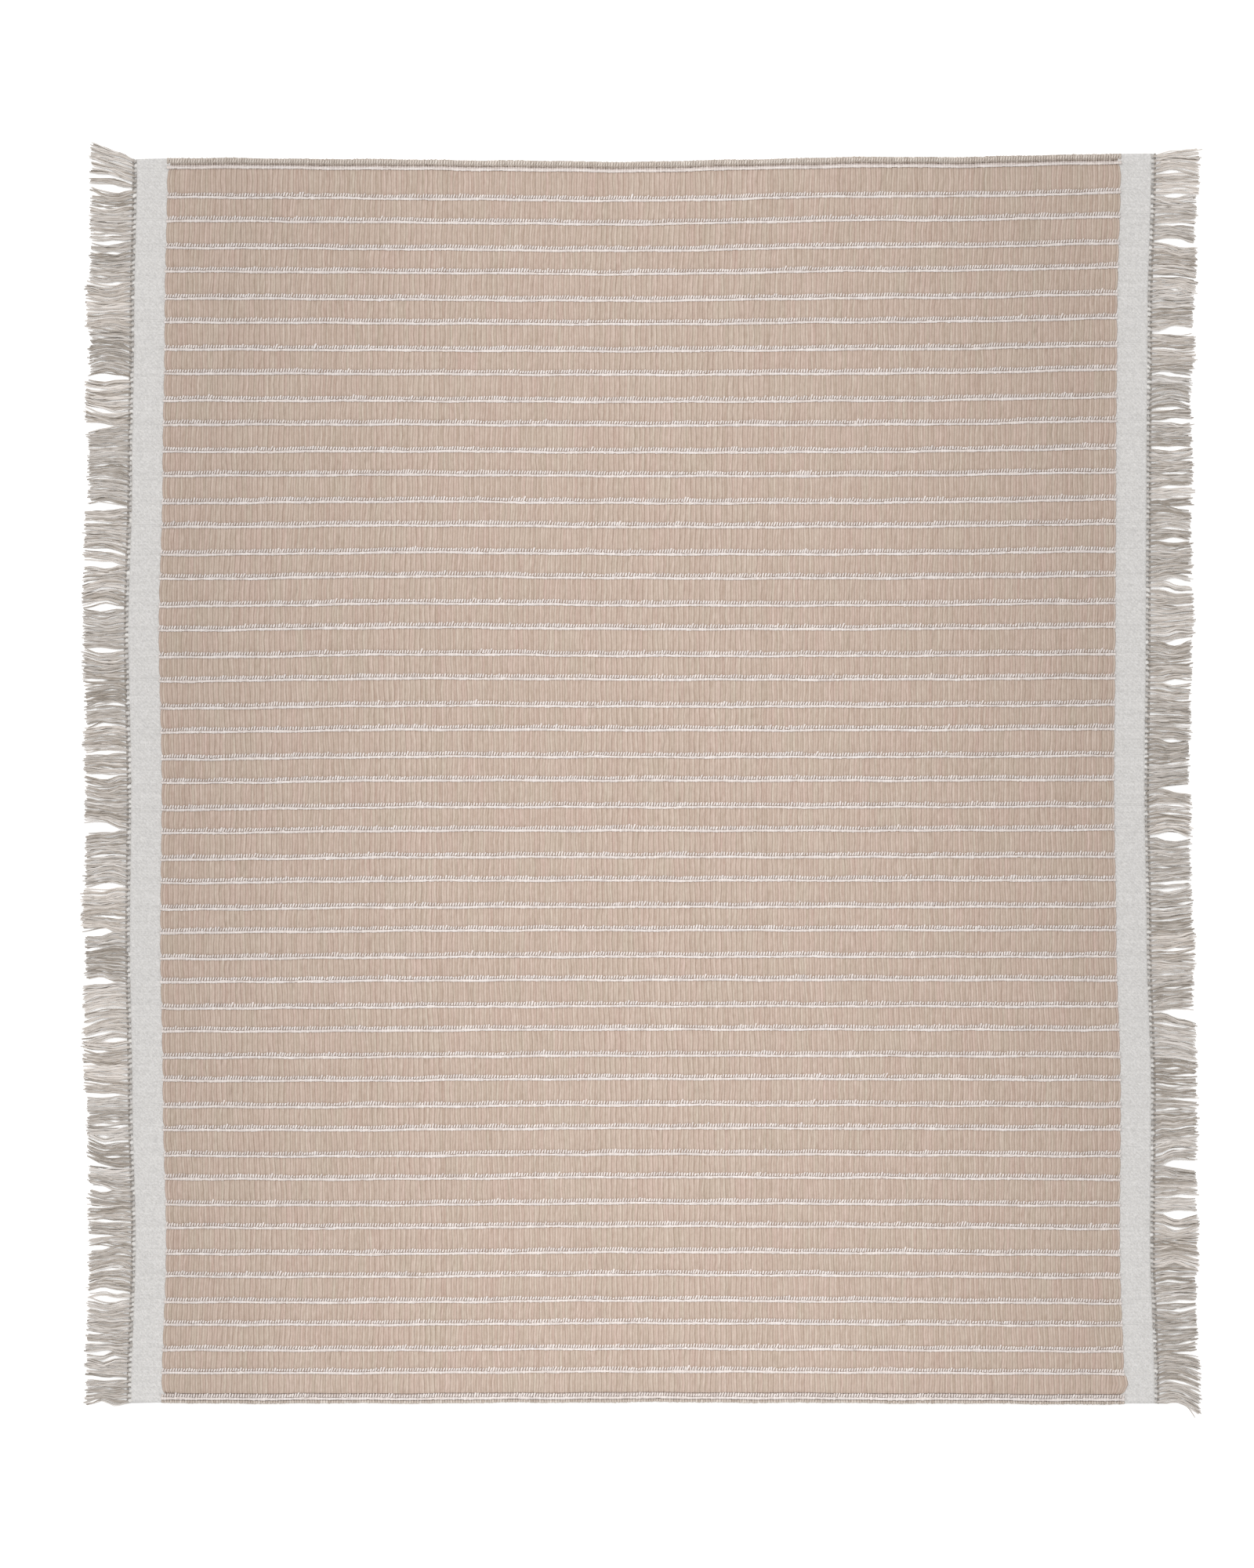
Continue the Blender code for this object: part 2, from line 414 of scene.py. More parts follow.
class Nodes:
    """The nodes of one material."""

    def __init__(self, material: bpy.types.Material) -> None:
        """Start from an empty node tree."""
        material.use_nodes = True
        self.tree = material.node_tree
        self.tree.nodes.clear()

    def add(self, kind: str, settings: dict, sockets: dict) -> bpy.types.Node:
        """Add one node.

        Args:
            kind: The node's type.
            settings: Its properties, which are set first.
            sockets: Values or links of its inputs, by name or number.

        Returns:
            The node.
        """
        node = self.tree.nodes.new(kind)
        for name, setting in settings.items():
            setattr(node, name, setting)
        for key, content in sockets.items():
            socket = node.inputs[key]
            link = content.socket if isinstance(content, Value) else content
            if isinstance(link, bpy.types.NodeSocket):
                self.tree.links.new(link, socket)
            else:
                socket.default_value = (*link, 1.0) if socket.type == "RGBA" else link
        return node

    def value(self, socket: bpy.types.NodeSocket) -> Value:
        """Wrap an output for arithmetic."""
        return Value(self, socket)

    def mix(
        self,
        first: "Colour | bpy.types.NodeSocket",
        second: "Colour | bpy.types.NodeSocket",
        share: "Value | float",
        blend: str = "MIX",
    ) -> bpy.types.NodeSocket:
        """Mix two colours.

        Args:
            first: Colour at a share of 0.
            second: Colour at a share of 1.
            share: How much of the second.
            blend: Way of mixing.

        Returns:
            The mixed colour.
        """
        settings = {"data_type": "RGBA", "blend_type": blend}
        made = self.add("ShaderNodeMix", settings, {0: share, 6: first, 7: second})
        return made.outputs[2]


FALLOFF_SHADE = (0.79, 0.79, 0.79)  # painted shade: what the colour is multiplied by where the painted light falloff is fullest
ROUGHNESS_SPREAD = 0.12


@dataclass(frozen=True)
class YarnFinish:
    """How one of the mat's yarns takes colour and light.

    Attributes:
        slot: Name that its material is named after, with _yarn added.
        deep: Painted shade colour, which a point takes as its painted light goes: down between the
            yarns, at the feet of copies and in painted shadows.
        dark: Colour of the darkest yarns.
        light: Colour of the lightest yarns.
        warm: Cast of the warmest yarns, which multiplies their colour.
        cool: Cast of the coolest yarns.
        fibres: Fibre flecks to a metre along X, Y and Z.
        fleck: How much the flecks change the colour.
        fuzz: Height of the fibres in the bump, in metres.
        roughness: Roughness between the flecks.
        sheen: Soft light off the loose fibres.
    """

    slot: str
    deep: Colour
    dark: Colour
    light: Colour
    warm: Colour
    cool: Colour
    fibres: tuple[float, float, float]
    fleck: float = 0.5
    fuzz: float = 0.05 * MM
    roughness: float = 0.88
    sheen: float = 0.12

    def material(self) -> bpy.types.Material:
        """Build the finish.

        Returns:
            The material.
        """
        material = bpy.data.materials.new(f"{self.slot}_yarn")
        nodes = Nodes(material)
        source = {"attribute_name": "dye", "attribute_type": "GEOMETRY"}
        dye = nodes.add("ShaderNodeAttribute", source, {})
        split = nodes.add("ShaderNodeSeparateColor", {}, {0: dye.outputs["Color"]})
        tone, tint, lit = (nodes.value(split.outputs[i]) for i in range(3))
        fade = nodes.value(dye.outputs["Alpha"])
        place = nodes.add("ShaderNodeTexCoord", {}, {})
        scaled = {"Vector": place.outputs["Object"], "Scale": self.fibres}
        run = nodes.add("ShaderNodeMapping", {}, scaled)
        fibres = nodes.add(
            "ShaderNodeTexNoise",
            {"noise_dimensions": "3D"},
            {"Vector": run.outputs[0], "Scale": 1.0, "Detail": 2.0, "Roughness": 0.6},
        )
        fibre = nodes.value(fibres.outputs[0])
        body = nodes.mix(self.dark, self.light, tone + (fibre - 0.5) * self.fleck)
        cast = nodes.mix(self.cool, self.warm, tint)
        cast_body = nodes.mix(body, cast, 1.0, "MULTIPLY")
        # Painted shade: where the painted light is low, the colour goes over to the deep colour.
        shaded = nodes.mix(self.deep, cast_body, lit)
        # Painted light falloff: darker toward the sides and the top of the mat.
        colour = nodes.mix(shaded, FALLOFF_SHADE, fade, "MULTIPLY")
        rough = fibre * ROUGHNESS_SPREAD + (self.roughness - ROUGHNESS_SPREAD / 2)
        bump = nodes.add("ShaderNodeBump", {}, {"Distance": self.fuzz, "Height": fibre})
        shader = nodes.add(
            "ShaderNodeBsdfPrincipled",
            {},
            {
                "Base Color": colour,
                "Roughness": rough,
                "Normal": bump.outputs[0],
                "Sheen Weight": self.sheen,
                "Sheen Roughness": 0.6,
                "Specular IOR Level": 0.25,
            },
        )
        nodes.add("ShaderNodeOutputMaterial", {}, {"Surface": shader.outputs[0]})
        return material


# The deep colour of each finish is its painted shade.
WEFT = YarnFinish(
    slot="weft_cotton",
    deep=ink(140, 120, 106),
    dark=ink(187, 166, 151),
    light=ink(219, 202, 190),
    warm=(1.03, 0.965, 0.965),
    cool=(0.985, 1.005, 0.965),
    fibres=(900, 420, 900),
    fleck=0.85,
    fuzz=0.06 * MM,
)
WARP = YarnFinish(
    slot="cream_warp",
    deep=ink(160, 142, 132),
    dark=ink(212, 199, 192),
    light=ink(250, 241, 236),
    warm=(1.0, 0.985, 0.97),
    cool=(0.985, 0.99, 1.0),
    fibres=(900, 900, 900),
    fleck=0.4,
    roughness=0.85,
    sheen=0.15,
)
PLAIN = YarnFinish(
    slot="plain_weave_cotton",
    deep=ink(176, 172, 167),
    dark=ink(209, 207, 205),
    light=ink(239, 237, 235),
    warm=(1.01, 1.0, 0.985),
    cool=(0.995, 0.995, 1.0),
    fibres=(700, 700, 700),
)
KNOTTED = replace(PLAIN, deep=ink(182, 176, 170), dark=ink(178, 172, 166), light=ink(246, 244, 241))
GREIGE = YarnFinish(
    slot="selvedge_cotton",
    deep=ink(132, 120, 110),
    dark=ink(186, 172, 160),
    light=ink(236, 226, 217),
    warm=(1.02, 0.99, 0.97),
    cool=(0.99, 1.0, 0.99),
    fibres=(900, 300, 900),
)
FRINGE = YarnFinish(
    slot="fringe_cotton",
    deep=ink(104, 96, 88),
    dark=ink(170, 160, 149),
    light=ink(255, 250, 246),
    warm=(1.02, 0.985, 0.95),
    cool=(0.99, 1.0, 1.01),
    fibres=(250, 1200, 1200),
    fuzz=0.08 * MM,
    roughness=0.9,
    sheen=0.18,
)


# ---------------------------------------------------------------- the woven field


@dataclass
class Ribs:
    """The weft's ribs, side by side across the field, and their own tones."""

    left: float
    right: float
    count: int = 370
    crown: tuple[float, float] = (0.30, 0.70)
    seed: int = 11

    def __post_init__(self) -> None:
        """Dye the ribs and set the columns of points that draw them."""
        rng = np.random.default_rng(self.seed)
        slips = np.cumsum(rng.random(self.count) > 0.97)
        pairs = np.where((np.arange(self.count) + slips) % 2, 0.11, -0.11)
        self.tone = 0.5 + 0.045 * rng.standard_normal(self.count) + pairs
        self.height = 1 + 0.14 * rng.standard_normal(self.count)
        starts = np.arange(self.count)[:, None] + np.array((0.0, *self.crown))
        self.place = np.append(starts.ravel(), self.count)
        self.rib = np.minimum(self.place.astype(int), self.count - 1)
        self.in_groove = np.isclose(self.place % 1, 0)
        deep = np.where(np.round(self.place).astype(int) % 2, 1.0, 0.5)
        self.cut = np.where(self.in_groove, deep, 0)
        self.depth = self.cut + np.where(self.in_groove, 0, 0.25 * (1 - self.height[self.rib]))

    @property
    def pitch(self) -> float:
        """Width of one rib."""
        return (self.right - self.left) / self.count

    def line(self, place: np.ndarray, y: np.ndarray) -> np.ndarray:
        """Follow a line of the ribs, which sway a little as they run along the mat.

        Args:
            place: Which line, counted in ribs from the left side.
            y: Places along the mat.

        Returns:
            Where the line is across the mat.
        """
        sway = 0.13 * np.sin(y * 205 + place * 0.37) + 0.11 * np.sin(y * 460 - place * 0.21 + 1.3)
        sway = sway + 0.06 * np.sin(y * 760 + place * 0.83)
        inside = ramp(place, 0, 5) * ramp(self.count - place, 0, 5)
        return self.left + place * self.pitch + sway * inside * MM


@dataclass
class WovenField:
    """The beige ribbed field, in panels that part under a stripe."""

    lay: Lay
    ribs: Ribs
    stripes: list[float]
    bands_in_panel: int = 7
    groove: float = 2.5 * MM
    edge_drop: float = 0.36 * MM
    shoulder: float = 1.3 * MM
    shoulder_drop: float = 0.05 * MM
    floor_drop: float = 0.52 * MM
    rib_depth: float = 0.26 * MM
    side_roll: float = 0.9 * MM
    scallop: float = 1.2 * MM
    bulge: float = 1.8 * MM
    back_groove: float = 0.12 * MM
    pull_reach: float = 9 * MM
    floor_light: float = 0.88
    edge_light: float = 0.90
    speck_light: float = 0.72
    seed: int = 23

    def __post_init__(self) -> None:
        """Read the field's own sizes and dye its bands."""
        low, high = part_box("weft_field")
        self.bottom, self.top, self.thickness = low[1], high[1], high[2]
        rng = np.random.default_rng(self.seed)
        bands = len(self.stripes) + 1
        self.band_tone = 0.05 * rng.standard_normal((bands, self.ribs.count))
        tint = rng.standard_normal((bands, self.ribs.count))
        reach = np.hanning(13)
        tint = np.array([np.convolve(row, reach / reach.sum(), "same") for row in tint])
        self.tint = 0.45 + 0.30 * tint + 0.14 * rng.standard_normal(tint.shape)

    def pull(self, y: np.ndarray, side: Side) -> np.ndarray:
        """Tell how far the stripes pull the field's side in.

        Args:
            y: Places along the mat.
            side: Which side.

        Returns:
            The pull at each place, from 0 in the middle of a band to the scallop's depth, and below
            0 in the lowest band on the right, which bulges.
        """
        edges = np.array([self.bottom, *reversed(self.stripes), self.top])
        after = np.clip(np.searchsorted(edges, y), 1, len(edges) - 1)
        low, high = edges[after - 1], edges[after]
        middle = np.clip((2 * y - low - high) / (high - low), -1, 1)
        bulge = self.bulge * (1 - middle**2) * (after == 1) * (side is Side.RIGHT)
        return self.scallop * np.abs(middle) ** 3 - bulge

    def profile(self, first: int, last: int) -> list[tuple[float, float, float, int]]:
        """Draw a panel's section across its bands, from its lower edge up and back underneath.

        Args:
            first: The panel's upper band, counted from the top.
            last: The panel's lower band.

        Returns:
            For each point its place along the mat, its height, its share of rib relief and its band.
        """
        edges = [self.top, *self.stripes, self.bottom]
        rows = []
        for band in range(last, first - 1, -1):
            low, high = edges[band + 1], edges[band]
            start = low if band == len(self.stripes) else low + self.groove / 2
            end = high if band == 0 else high - self.groove / 2
            if band < len(self.stripes):
                rows.append((low, self.thickness - self.floor_drop, 0.3, band))
            edge, bend = self.thickness - self.edge_drop, self.thickness - self.shoulder_drop
            rows += [
                (start, edge, 0.8, band),
                (start + self.shoulder, bend, 1.0, band),
                ((start + end) / 2, self.thickness, 1.0, band),
                (end - self.shoulder, bend, 1.0, band),
                (end, edge, 0.8, band),
            ]
        if first > 0:
            rows.append((edges[first], self.thickness - self.floor_drop, 0.3, first))
        high, low = rows[-1][0], rows[0][0]
        back = np.linspace(high, low, self.bands_in_panel)
        return rows + [(y, 0.0, -0.5, first) for y in back]

    def surface(self, rows: np.ndarray) -> np.ndarray:
        """Shape a panel's ribs, its rolled sides and the pull of the stripes on them.

        Args:
            rows: Place, height, rib relief and band of each row, as the profile gives them.

        Returns:
            The points, indexed by column of the ribs, then by row.
        """
        ribs, (y, z, relief, _) = self.ribs, rows
        x = ribs.line(ribs.place[:, None], y[None])
        off = np.minimum(x - ribs.left, ribs.right - x)
        roll = np.sqrt(np.clip(1 - (1 - np.clip(off / self.side_roll, 0, 1)) ** 2, 0, 1))
        height = z * (0.86 + 0.14 * roll) - self.rib_depth * ribs.depth[:, None] * relief * (z > 0)
        height = height + self.back_groove * ribs.in_groove[:, None] * (z == 0)
        near = 1 - ramp(off, 0, self.pull_reach)
        inward = [-side.value * self.pull(y, side) for side in Side]
        x = x + near * np.where(ribs.place[:, None] < ribs.count / 2, *inward)
        return stack(x, y, height)

    def dyes(self, rows: np.ndarray, rng: np.random.Generator) -> np.ndarray:
        """Dye a panel rib by rib and paint shade on it, darker in the grooves and beside the stripes.

        Args:
            rows: Place, height, rib relief and band of each row, as the profile gives them.
            rng: Where the points' own tones are drawn from.

        Returns:
            The dyes with their painted shade, indexed as the points are.
        """
        ribs, relief, band = self.ribs, rows[2], rows[3].astype(int)
        rib = ribs.rib[:, None]
        tone = ribs.tone[rib] + self.band_tone[band[None], rib]
        tone = tone + 0.15 * rng.standard_normal(tone.shape)
        # Painted shade: the grooves, the groove floors and the band edges beside the stripes take less
        # light; a few random darker specks use the same channel.
        lit = np.where(ribs.in_groove, 1 - 0.5 * ribs.depth, 1.0)[:, None]
        lit = lit * np.where(relief < 0.5, self.floor_light, 1.0)
        lit = lit * np.where(np.isclose(relief, 0.8), self.edge_light, 1.0)
        lit = lit * np.where(rng.random(tone.shape) > 0.97, self.speck_light, 1.0)
        return stack(tone, self.tint[band[None], rib], lit, 1).clip(0, 1)

    def panel(self, number: int, material: bpy.types.Material) -> bpy.types.Object:
        """Weave one panel.

        Args:
            number: Which panel, from 1 at the top.
            material: Its finish.

        Returns:
            The panel.
        """
        first = (number - 1) * self.bands_in_panel
        last = min(first + self.bands_in_panel, len(self.stripes) + 1) - 1
        rows = np.array(self.profile(first, last)).T
        draft = Draft(self.lay)
        draft.sweep(self.surface(rows), self.dyes(rows, np.random.default_rng(self.seed + number)))
        return draft.finish(f"field_panel_{number}", material)


@dataclass
class WarpStripes:
    """The cream stripes: a ladder of slanted floats over one beaded line, one of each to a rib."""

    lay: Lay
    ribs: Ribs
    top: float
    float_rise: float = 0.45 * MM
    float_length: float = 1.85 * MM
    float_width: float = 1.04 * MM
    float_height: float = 0.56 * MM
    float_slant: float = 0.30
    float_drop: float = 0.18 * MM
    bead_rise: float = -1.02 * MM
    bead_length: float = 1.70 * MM
    bead_width: float = 1.70 * MM
    bead_height: float = 0.74 * MM
    bead_drop: float = 0.16 * MM
    bead_shake: float = 0.05 * MM
    foot_shade: float = 0.2
    seed: int = 37

    def __post_init__(self) -> None:
        """Model the two units that every stripe copies."""
        self.float_unit = Unit.lozenge(4, 3, (math.pi / 2, 0, 0), 1.9)
        self.bead_unit = Unit.lozenge(4, 3, (0, math.pi / 2, 0), 1.4)
        self.rng = np.random.default_rng(self.seed)

    def soft(self, amount: float, reach: int) -> np.ndarray:
        """Draw a value for each rib that changes gently from rib to rib.

        Args:
            amount: Usual size of the changes.
            reach: Ribs that a change lasts for.

        Returns:
            The values.
        """
        window = np.hanning(reach + 2)
        drawn = self.rng.standard_normal(self.ribs.count)
        return amount * np.convolve(drawn, window / np.linalg.norm(window), "same")

    def floats(self, draft: Draft, y: float, sink: float = 0.0) -> None:
        """Lay the slanted floats of one stripe.

        Args:
            draft: Where they go.
            y: Middle of the stripe.
            sink: How much lower than the field's floats they lie.
        """
        count, rng = self.ribs.count, self.rng
        grown = 1 + self.soft(0.08, 9) + 0.10 * rng.standard_normal(count)
        grown = grown + 0.35 * (rng.random(count) > 0.95)
        middle = np.full(count, y + self.float_rise) + (grown - 1) * self.float_length / 3
        x = self.ribs.line(np.arange(count) + 0.5, middle)
        places = stack(x, middle, self.top - self.float_drop - sink)
        wide = self.float_width / 2 * (1 + 0.12 * rng.standard_normal(count))
        slant = self.float_slant * (1 + 0.3 * rng.standard_normal(count))
        long = self.float_length / 2 * grown
        upward = stack(0, 0, self.float_height / 2)
        frames = stack(stack(wide, 0, 0), stack(long * slant, long, 0), upward)
        tone = 0.70 + self.soft(0.10, 7) + 0.14 * rng.standard_normal(count)
        self.lay_down(draft, self.float_unit, places, frames, tone)

    def beads(self, draft: Draft, y: float) -> None:
        """Lay the beaded line of one stripe.

        Args:
            draft: Where it goes.
            y: Middle of the stripe.
        """
        count, rng = self.ribs.count, self.rng
        middle = y + self.bead_rise + self.bead_shake * rng.standard_normal(count)
        x = self.ribs.line(np.arange(count) + 0.5, middle)
        places = stack(x, middle, self.top - self.bead_drop)
        wide = self.bead_width / 2 * (1 + 0.10 * rng.standard_normal(count) + self.soft(0.06, 7))
        along, upward = stack(self.bead_length / 2, 0, 0), stack(0, 0, self.bead_height / 2)
        frames = stack(along, stack(0, wide, 0), upward)
        tone = 0.74 + self.soft(0.09, 7) + 0.12 * rng.standard_normal(count)
        self.lay_down(draft, self.bead_unit, places, frames, tone)

    def lay_down(
        self, draft: Draft, unit: Unit, places: np.ndarray, frames: np.ndarray, tone: np.ndarray
    ) -> None:
        """Dye a row of units, whose middles, half axes and tones are given, and add it."""
        tint = 0.5 + self.soft(0.22, 11) + 0.1 * self.rng.standard_normal(self.ribs.count)
        draft.copies(unit, places, frames, stack(tone, tint, 1, 1).clip(0, 1), self.foot_shade)

    def stripe(self, name: str, y: float, material: bpy.types.Material) -> bpy.types.Object:
        """Make one whole stripe.

        Args:
            name: Name of the piece.
            y: Middle of the stripe.
            material: Its finish.

        Returns:
            The stripe.
        """
        draft = Draft(self.lay)
        self.floats(draft, y)
        self.beads(draft, y)
        return draft.finish(name, material)


# ---------------------------------------------------------------- selvedges and their lines


@dataclass
class WovenEdge:
    """One selvedge: the ribs' turned ends, and the cream line that lies inside them."""

    lay: Lay
    ribs: Ribs
    edge: Selvedge
    steps: int = 8
    loop_depth: float = 0.35 * MM
    bed_depth: float = 0.2 * MM
    loop_overlap: float = 0.15 * MM
    line_overlap: float = 0.5 * MM
    ripple: float = 0.12 * MM
    groove_light: float = 0.35
    seed: int = 51

    def cord(
        self, draft: Draft, node: str, overlap: float, depth: float, tone: float, fullness: float
    ) -> None:
        """Sweep one ribbed cord along the field's edge.

        Args:
            draft: Where it goes.
            node: CAD node that it stands for.
            overlap: How far it tucks in past the node's sides.
            depth: How deep the ribs' grooves cut it.
            tone: Its usual tone.
            fullness: Share of its width that is rounded.
        """
        low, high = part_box(node)
        rng = np.random.default_rng((self.seed, self.edge is Selvedge.TOP, len(node)))
        place, rib = self.ribs.place, self.ribs.rib
        middle, reach = (low[1] + high[1]) / 2, (high[1] - low[1]) / 2 + overlap
        turn = np.linspace(math.pi, 0, self.steps)
        squash = np.sign(np.cos(turn)) * np.abs(np.cos(turn)) ** fullness
        y = np.concatenate((middle + reach * squash, (middle + reach, middle - reach)))
        z = np.concatenate((high[2] * (0.25 + 0.75 * np.sin(turn) ** 0.7), (0.0, 0.0)))
        cut = depth * self.ribs.cut
        shape = np.append(np.sin(turn), (0.0, 0.0))
        height = z[None] - cut[:, None] * shape
        inward = 1 - cut[:, None] / (2 * reach) * (z > 0)
        loose = 1 + self.ripple / reach * rng.standard_normal(len(place))[:, None]
        along = middle + (y[None] - middle) * inward * loose
        x = self.ribs.line(place[:, None], along)
        shade = tone + 0.16 * rng.standard_normal(self.ribs.count)[rib] + 0.12 * (rib % 2)
        # Painted shade: the grooves between the ribs and the cord's flanks and underside take less
        # light.
        lit = np.where(self.ribs.in_groove, self.groove_light, 1.0)[:, None] * (0.85 + 0.15 * shape)
        tint = 0.5 + 0.2 * rng.standard_normal(len(place))
        dyes = stack(shade[:, None], tint[:, None], lit, 1)
        draft.sweep(stack(x, along, height), dyes.clip(0, 1))

    def selvedge(self, stripes: WarpStripes, material: bpy.types.Material) -> bpy.types.Object:
        """Make the turned edge.

        Args:
            stripes: The stripes, whose floats the upper edge shares.
            material: Its finish.

        Returns:
            The selvedge.
        """
        draft = Draft(self.lay)
        node = f"{self.edge.word}_selvedge"
        self.cord(draft, node, self.loop_overlap, self.loop_depth, 0.40, 0.8)
        if self.edge is Selvedge.TOP:
            low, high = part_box(node)
            middle = (low[1] + high[1]) / 2 - stripes.float_rise
            stripes.floats(draft, middle, stripes.top - high[2] - 0.1 * MM)
        return draft.finish(f"{self.edge.word}_turned_edge", material)

    def line(self, stripes: WarpStripes, material: bpy.types.Material) -> bpy.types.Object:
        """Make the cream line beside the selvedge, with the bed that it lies in.

        Args:
            stripes: The stripes, whose floats and beads it shares.
            material: Its finish.

        Returns:
            The line.
        """
        node = f"{self.edge.word}_edge_stripe"
        low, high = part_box(node)
        draft = Draft(self.lay)
        self.cord(draft, node, self.line_overlap, self.bed_depth, 0.25, 0.9)
        middle = (low[1] + high[1]) / 2
        if self.edge is Selvedge.BOTTOM:
            stripes.floats(draft, middle)
            stripes.beads(draft, middle)
        else:
            stripes.beads(draft, middle - stripes.bead_rise - self.line_overlap)
        return draft.finish(f"{self.edge.word}_edge_line", material)


# ---------------------------------------------------------------- end bands, knots and fringe


@dataclass
class EndBand:
    """The fine plain-woven strip between the field and the knots."""

    lay: Lay
    woven: WovenField
    side: Side
    yarns_across: int = 16
    yarn: float = 0.90 * MM
    weave: float = 0.10 * MM
    pick_lines: float = 0.10 * MM
    pick_reach: float = 1.6 * MM
    pick_pitch: float = 0.95 * MM
    edge_roll: float = 0.8 * MM
    tuck: float = 0.5 * MM
    underlap: float = 0.35 * MM
    inner_rise: float = 0.45 * MM
    seed: int = 67

    def pattern(self, y: np.ndarray, columns: int) -> tuple[np.ndarray, np.ndarray]:
        """Draw the plain weave and the faint ridges that carry on from the stripes.

        Args:
            y: Place of each row of points along the mat.
            columns: Points across the band.

        Returns:
            How far each point lies over or under its neighbours, and the ridge at each row.
        """
        i, j = np.indices((len(y), columns))
        crossing = (i % 2 == 0) & (j % 2 == 0)
        over = np.where(crossing, np.where((i + j) // 2 % 2, 1.0, -0.6), -0.2)
        off_line = np.min(np.abs(y[:, None] - np.array(self.woven.stripes)[None]), axis=1)
        ridge = np.exp(-((off_line / self.pick_reach) ** 2))
        ridge = ridge * np.cos(off_line / self.pick_pitch * 2 * math.pi)
        return over, ridge[:, None]

    def build(self, material: bpy.types.Material) -> bpy.types.Object:
        """Weave the band.

        Args:
            material: Its finish.

        Returns:
            The band.
        """
        low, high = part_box(f"{self.side.word}_end_band")
        sign = self.side.value
        outer = (high[0] if sign > 0 else low[0]) + sign * self.tuck
        rows = 2 * round((high[1] - low[1]) / self.yarn) + 1
        y = np.linspace(high[1], low[1], rows)
        across = np.linspace(0, 1, 2 * self.yarns_across + 1)
        start = np.full(rows, self.woven.ribs.left if sign < 0 else self.woven.ribs.right)
        start = start - sign * (self.woven.pull(y, self.side) + self.underlap)
        x = start[:, None] + across[None] * (outer - start)[:, None]
        over, ridge = self.pattern(y, len(across))
        rng = np.random.default_rng(self.seed + sign)
        off = np.minimum(y - low[1], high[1] - y)[:, None]
        roll = np.sqrt(np.clip(1 - (1 - np.clip(off / self.edge_roll, 0, 1)) ** 2, 0.1, 1))
        z = high[2] * roll + self.weave * over + self.pick_lines * ridge
        z = z + 0.03 * MM * rng.standard_normal(z.shape)
        z = z * (1 - 0.5 * ramp(across, 0.93, 1.0)) + self.inner_rise * (1 - ramp(across, 0, 0.2))
        top = stack(x, y[:, None], z)
        back = top[:, [-1, len(across) // 2, 0]] * np.array((1, 1, 0))
        sections = np.concatenate((top, back), axis=1)
        tone = 0.5 + 0.22 * over + 0.20 * ridge + 0.26 * rng.standard_normal(z.shape)
        tone = tone + 0.07 * rng.standard_normal((rows, 1))
        tone = np.concatenate((tone, tone[:, :3]), axis=1)
        tint = 0.5 + 0.15 * rng.standard_normal(tone.shape)
        # Painted shade on the band's underside.
        lit = np.ones_like(tone)
        lit[:, len(across) :] = 0.6
        dyes = stack(tone, tint, lit, 1).clip(0, 1)
        if sign < 0:
            sections, dyes = sections[:, ::-1], dyes[:, ::-1]
        draft = Draft(self.lay)
        draft.sweep(sections, dyes)
        return draft.finish(f"{self.side.word}_plain_weave", material)


@dataclass
class KnotRow:
    """The row of small knots that ties the warp's ends."""

    lay: Lay
    side: Side
    count: int = 243
    inset: float = 0.8 * MM
    half_length: float = 1.30 * MM
    fullness: float = 0.43
    bed: float = 0.45 * MM
    bed_radius: float = 0.55 * MM
    bed_dye: tuple[float, float, float, float] = (0.2, 0.5, 0.0, 1.0)
    seed: int = 71

    def middles(self) -> np.ndarray:
        """Give the places of the knots along the mat.

        Returns:
            One place for each knot, from the bottom up.
        """
        low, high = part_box(f"{self.side.word}_knots")
        pitch = (high[1] - low[1]) / self.count
        return low[1] + (np.arange(self.count) + 0.5) * pitch

    def build(self, material: bpy.types.Material) -> bpy.types.Object:
        """Tie the knots.

        Args:
            material: Their finish.

        Returns:
            The row.
        """
        low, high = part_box(f"{self.side.word}_knots")
        rng = np.random.default_rng(self.seed + self.side.value)
        sign, middle_x, height = self.side.value, (low[0] + high[0]) / 2, high[2]
        count, pitch = self.count, (high[1] - low[1]) / self.count
        x = middle_x - sign * self.inset + 0.18 * MM * rng.standard_normal(count)
        y = self.middles() + 0.10 * MM * rng.standard_normal(count)
        lean = 0.35 + 0.25 * rng.standard_normal(count)
        long = self.half_length * (1 + 0.14 * rng.standard_normal(count))
        wide = pitch * self.fullness * (1 + 0.12 * rng.standard_normal(count))
        along = stack(long * np.cos(lean), -sign * long * np.sin(lean), 0)
        across = stack(sign * wide * np.sin(lean), wide * np.cos(lean), 0)
        frames = stack(along, across, stack(0, 0, height * 0.5))
        tone = 0.55 + 0.22 * rng.standard_normal(count)
        tint = 0.5 + 0.2 * rng.standard_normal(count)
        dyes = stack(tone, tint, 1, 1).clip(0, 1)
        draft = Draft(self.lay)
        knot = Unit.lozenge(8, 5, (0, math.pi / 2, 0))
        draft.copies(knot, stack(x, y, height * 0.5), frames, dyes)
        # The bed is painted shadow: a rod under the knots in full painted shade, dark between the knots.
        spine = np.linspace(low[1], high[1], count)
        path = stack(middle_x + sign * self.bed, spine, self.bed_radius)[None]
        shade = np.broadcast_to(np.array(self.bed_dye), (1, count, 4))
        draft.strands(path, np.full((1, count), self.bed_radius), 8, shade)
        return draft.finish(f"{self.side.word}_knot_row", material)


@dataclass(frozen=True)
class Flare:
    """How far the fringe spreads past one corner of the mat.

    Attributes:
        spread: How far the outermost tips go past their knots.
        reach: How much of the fringe the corner spreads.
    """

    spread: float
    reach: float


